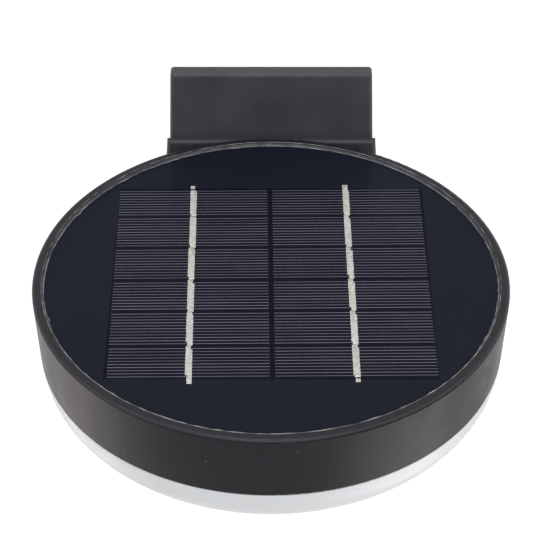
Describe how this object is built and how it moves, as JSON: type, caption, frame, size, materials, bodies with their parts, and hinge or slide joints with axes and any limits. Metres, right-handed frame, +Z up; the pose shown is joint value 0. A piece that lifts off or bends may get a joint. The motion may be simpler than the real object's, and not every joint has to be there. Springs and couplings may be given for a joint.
{
  "type": "solar fence light",
  "caption": "Round solar fence light with a solar panel in its top, an opal lens below with a push switch, and a screw-on plate that it lifts off.",
  "frame": {"origin": "on the fence surface, midway between the two screw holes of the wall plate", "axes": "+Z up, +Y into the fence, so the lamp stands out along -Y; +X to the right of someone facing the fence"},
  "size_m": [0.1598, 0.1669, 0.0699],
  "materials": {
    "housing_plastic": "fine moulded texture, charcoal",
    "opal_plastic": "milky, smooth",
    "seal_rubber": "matte",
    "panel_face": "dark navy board under clear resin",
    "solar_silicon": "dark violet silicon with fine fingers, under clear resin",
    "tinned_ribbon": "tinned, satin",
    "clear_sealant": "smooth, uneven",
    "white_plastic": "smooth",
    "white_board": "white solder mask",
    "led_phosphor": "smooth",
    "black_component": "moulded",
    "green_board": "green solder mask",
    "copper_coil": "enamelled copper wire",
    "capacitor_sleeve": "shrink sleeve",
    "battery_sleeve": "plain shrink sleeve",
    "nickel": "plated",
    "screw_steel": "zinc plated",
    "red_insulation": "flexible insulation",
    "black_insulation": "flexible insulation",
    "button_rubber": "soft, matte"
  },
  "bodies": {
    "bracket": {"wall_plate": "housing_plastic"},
    "lamp": {"housing": "housing_plastic", "lens": "opal_plastic", "seal_ring": "seal_rubber", "button_seal": "seal_rubber", "solar_board": "panel_face", "solar_cells_left": "solar_silicon", "solar_cells_right": "solar_silicon", "ribbons_left": "tinned_ribbon", "ribbons_right": "tinned_ribbon", "string_tabs": "tinned_ribbon", "panel_sealant": "clear_sealant", "light_tray": "white_plastic", "led_board": "white_board", "led_chips": "led_phosphor", "led_resistors": "black_component", "control_board": "green_board", "controller_chip": "black_component", "coil": "copper_coil", "capacitor": "capacitor_sleeve", "wire_connectors": "white_plastic", "battery_cell": "battery_sleeve", "battery_tabs": "nickel", "battery_strap": "white_plastic", "tray_screws": "screw_steel", "led_board_screws": "screw_steel", "board_screws": "screw_steel", "strap_screws": "screw_steel", "panel_lead_red": "red_insulation", "led_lead_red": "red_insulation", "battery_lead_red": "red_insulation", "panel_lead_black": "black_insulation", "led_lead_black": "black_insulation", "battery_lead_black": "black_insulation", "switch_body": "black_component"},
    "switch": {"switch_button": "button_rubber", "switch_plunger": "white_plastic"}
  },
  "joints": [
    {"name": "lamp_lift", "type": "slide", "parent": "bracket", "child": "lamp", "axis": [0, 0, 1], "range_m": [0, 0.009]},
    {"name": "switch_press", "type": "slide", "parent": "lamp", "child": "switch", "axis": [0, 0, 1], "range_m": [0, 0.0012], "stiffness_N_per_m": 300, "springref_m": -0.001}
  ]
}
